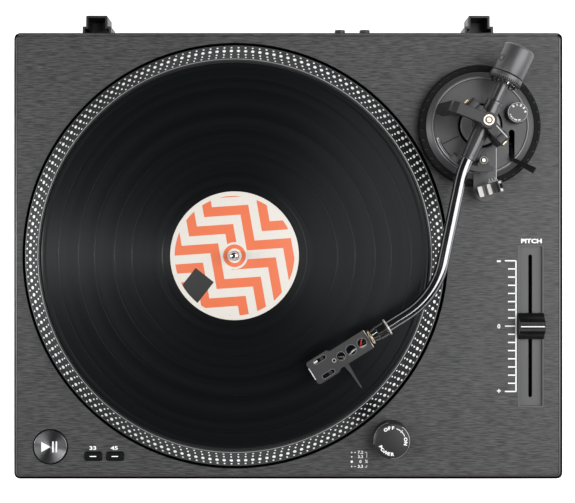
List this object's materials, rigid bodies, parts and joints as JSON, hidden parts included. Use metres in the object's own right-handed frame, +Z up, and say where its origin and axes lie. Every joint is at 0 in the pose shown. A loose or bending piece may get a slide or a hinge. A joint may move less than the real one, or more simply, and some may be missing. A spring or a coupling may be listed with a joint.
{
  "type": "turntable record player",
  "caption": "Direct-drive turntable: flat plinth, dotted platter carrying a disc, S-shaped tonearm with counterweight, cue lever and sliding speed control.",
  "frame": {"origin": "centre of the footprint, on the surface that the feet stand on", "axes": "+X is the operator's right, +Y is the back (hinge sockets and connectors), +Z is up"},
  "size_m": [0.431, 0.3646, 0.1345],
  "materials": {
    "black_housing": "satin moulded",
    "brushed_panel": "brushed, dark grey anodised",
    "rubber": "matt",
    "steel": "machined",
    "platter_metal": "turned, with polished dots",
    "magnet": "sintered",
    "circuit": "lacquered board",
    "coil": "lacquered winding",
    "contact_gold": "gold plated",
    "felt": "felt",
    "vinyl": "grooved, glossy",
    "label_paper": "printed paper",
    "dark_metal": "satin, dark grey",
    "black_chrome": "glossy black chrome",
    "black_gloss": "gloss",
    "button_metal": "circular brushed",
    "fader_plastic": "satin",
    "lens_red": "translucent red",
    "weight_brass": "dark plated",
    "lead_wire": "coloured leads"
  },
  "bodies": {
    "plinth": {"plinth_shell": "black_housing", "top_panel": "brushed_panel", "bottom_cover": "black_housing", "case_screws": "steel", "foot_front_left": "black_housing", "foot_front_right": "black_housing", "foot_rear_left": "black_housing", "foot_rear_right": "black_housing", "foot_pads": "rubber", "hinge_socket_left": "black_housing", "hinge_socket_right": "black_housing", "rear_panel": "black_housing", "signal_sockets": "contact_gold", "ground_terminal": "steel", "power_inlet": "black_housing", "main_board": "circuit", "power_transformer": "steel", "bearing_housing": "steel", "bearing_bush": "contact_gold", "motor_board": "circuit", "stator": "coil", "strobe_housing": "dark_metal", "strobe_window": "lens_red", "fader_tray": "black_housing", "fader_potentiometer": "steel", "arm_mount_collar": "dark_metal"},
    "platter": {"platter": "platter_metal", "rotor_magnet": "magnet", "spindle": "steel", "slipmat": "felt", "record": "vinyl", "record_label": "label_paper"},
    "start_stop_button": {"start_stop_button": "button_metal"},
    "speed_33_button": {"speed_33_button": "button_metal"},
    "speed_45_button": {"speed_45_button": "button_metal"},
    "power_dial": {"power_dial": "dark_metal"},
    "pitch_fader_knob": {"pitch_fader_knob": "fader_plastic"},
    "height_ring": {"height_ring": "dark_metal"},
    "arm_base": {"arm_base": "dark_metal", "arm_rest": "black_gloss", "pivot_bridge": "dark_metal", "bearing_screw": "contact_gold"},
    "arm_clamp": {"arm_clamp": "black_gloss"},
    "anti_skate_dial": {"anti_skate_dial": "dark_metal"},
    "cue_lever": {"cue_lever": "black_gloss"},
    "cue_lift": {"cue_lift": "dark_metal"},
    "gimbal": {"gimbal_yoke": "dark_metal", "yoke_screws": "contact_gold"},
    "pivot_axle": {"pivot_axle": "steel"},
    "tonearm": {"arm_sleeve": "dark_metal", "arm_tube": "black_chrome", "headshell": "dark_metal", "cartridge": "black_gloss", "stylus": "black_gloss", "headshell_leads": "lead_wire", "cartridge_screws": "steel"},
    "locking_collar": {"locking_collar": "dark_metal"},
    "counterweight_core": {"counterweight_core": "steel"},
    "counterweight": {"counterweight": "weight_brass"},
    "force_dial": {"force_dial": "fader_plastic"}
  },
  "joints": [
    {"name": "platter_spin", "type": "hinge", "parent": "plinth", "child": "platter", "pos_m": [-0.0415, -0.0073, 0.074], "axis": [0, 0, -1], "continuous": true},
    {"name": "start_stop_press", "type": "slide", "parent": "plinth", "child": "start_stop_button", "axis": [0, 0, -1], "range_m": [0, 0.0008], "stiffness_N_per_m": 600, "springref_m": -0.001},
    {"name": "speed_33_press", "type": "slide", "parent": "plinth", "child": "speed_33_button", "axis": [0, 0, -1], "range_m": [0, 0.0008], "stiffness_N_per_m": 400, "springref_m": -0.001},
    {"name": "speed_45_press", "type": "slide", "parent": "plinth", "child": "speed_45_button", "axis": [0, 0, -1], "range_m": [0, 0.0008], "stiffness_N_per_m": 400, "springref_m": -0.001},
    {"name": "power_dial_turn", "type": "hinge", "parent": "plinth", "child": "power_dial", "pos_m": [0.081, -0.1511, 0.074], "axis": [0, 0, 1], "range_deg": [0, 45]},
    {"name": "pitch_fader_slide", "type": "slide", "parent": "plinth", "child": "pitch_fader_knob", "axis": [0, -1, 0], "range_m": [-0.05, 0.05]},
    {"name": "height_ring_turn", "type": "hinge", "parent": "plinth", "child": "height_ring", "pos_m": [0.15, 0.0942, 0.074], "axis": [0, 0, 1], "range_deg": [0, 270]},
    {"name": "arm_base_rise", "type": "slide", "parent": "plinth", "child": "arm_base", "axis": [0, 0, 1], "range_m": [0, 0.00601]},
    {"name": "arm_clamp_turn", "type": "hinge", "parent": "arm_base", "child": "arm_clamp", "pos_m": [0.16193, 0.04593, 0.1116], "axis": [0.2723, -0.9622, 0], "range_deg": [-92, 0]},
    {"name": "anti_skate_turn", "type": "hinge", "parent": "arm_base", "child": "anti_skate_dial", "pos_m": [0.1779, 0.1037, 0.074], "axis": [0, 0, -1], "range_deg": [0, 300]},
    {"name": "cue_lever_raise", "type": "hinge", "parent": "arm_base", "child": "cue_lever", "pos_m": [0.1745, 0.0799, 0.079], "axis": [-1, 0, 0], "range_deg": [0, 42]},
    {"name": "cue_lift_rise", "type": "slide", "parent": "arm_base", "child": "cue_lift", "axis": [0, 0, 1], "range_m": [0, 0.0024]},
    {"name": "arm_swing", "type": "hinge", "parent": "arm_base", "child": "gimbal", "pos_m": [0.15, 0.0942, 0.1125], "axis": [0, 0, 1], "range_deg": [-14, 27.7]},
    {"name": "arm_cue_raise", "type": "hinge", "parent": "gimbal", "child": "pivot_axle", "pos_m": [0.15, 0.0942, 0.1125], "axis": [-0.6769, 0.7361, 0], "range_deg": [0, 2.51]},
    {"name": "arm_pitch", "type": "hinge", "parent": "pivot_axle", "child": "tonearm", "pos_m": [0.15, 0.0942, 0.1125], "axis": [-0.6769, 0.7361, 0], "range_deg": [0, 12]},
    {"name": "locking_collar_turn", "type": "hinge", "parent": "tonearm", "child": "locking_collar", "pos_m": [0.07542, -0.06149, 0.1125], "axis": [-0.8471, -0.5314, 0], "range_deg": [0, 90]},
    {"name": "weight_travel", "type": "slide", "parent": "tonearm", "child": "counterweight_core", "axis": [0.4274, 0.9041, 0], "range_m": [-0.00601, 0.00601]},
    {"name": "weight_turn", "type": "hinge", "parent": "counterweight_core", "child": "counterweight", "pos_m": [0.15, 0.0942, 0.1125], "axis": [0.4274, 0.9041, 0], "range_deg": [-720, 720]},
    {"name": "force_dial_turn", "type": "hinge", "parent": "counterweight", "child": "force_dial", "pos_m": [0.15, 0.0942, 0.1125], "axis": [0.4274, 0.9041, 0], "continuous": true}
  ],
  "couplings": [
    {"joint": "arm_base_rise", "follows": "height_ring_turn", "m_per_rad": 0.0012732},
    {"joint": "cue_lift_rise", "follows": "cue_lever_raise", "m_per_rad": 0.0031376},
    {"joint": "arm_cue_raise", "follows": "cue_lever_raise", "ratio": 0.059524},
    {"joint": "weight_travel", "follows": "weight_turn", "m_per_rad": 0.00047746}
  ]
}
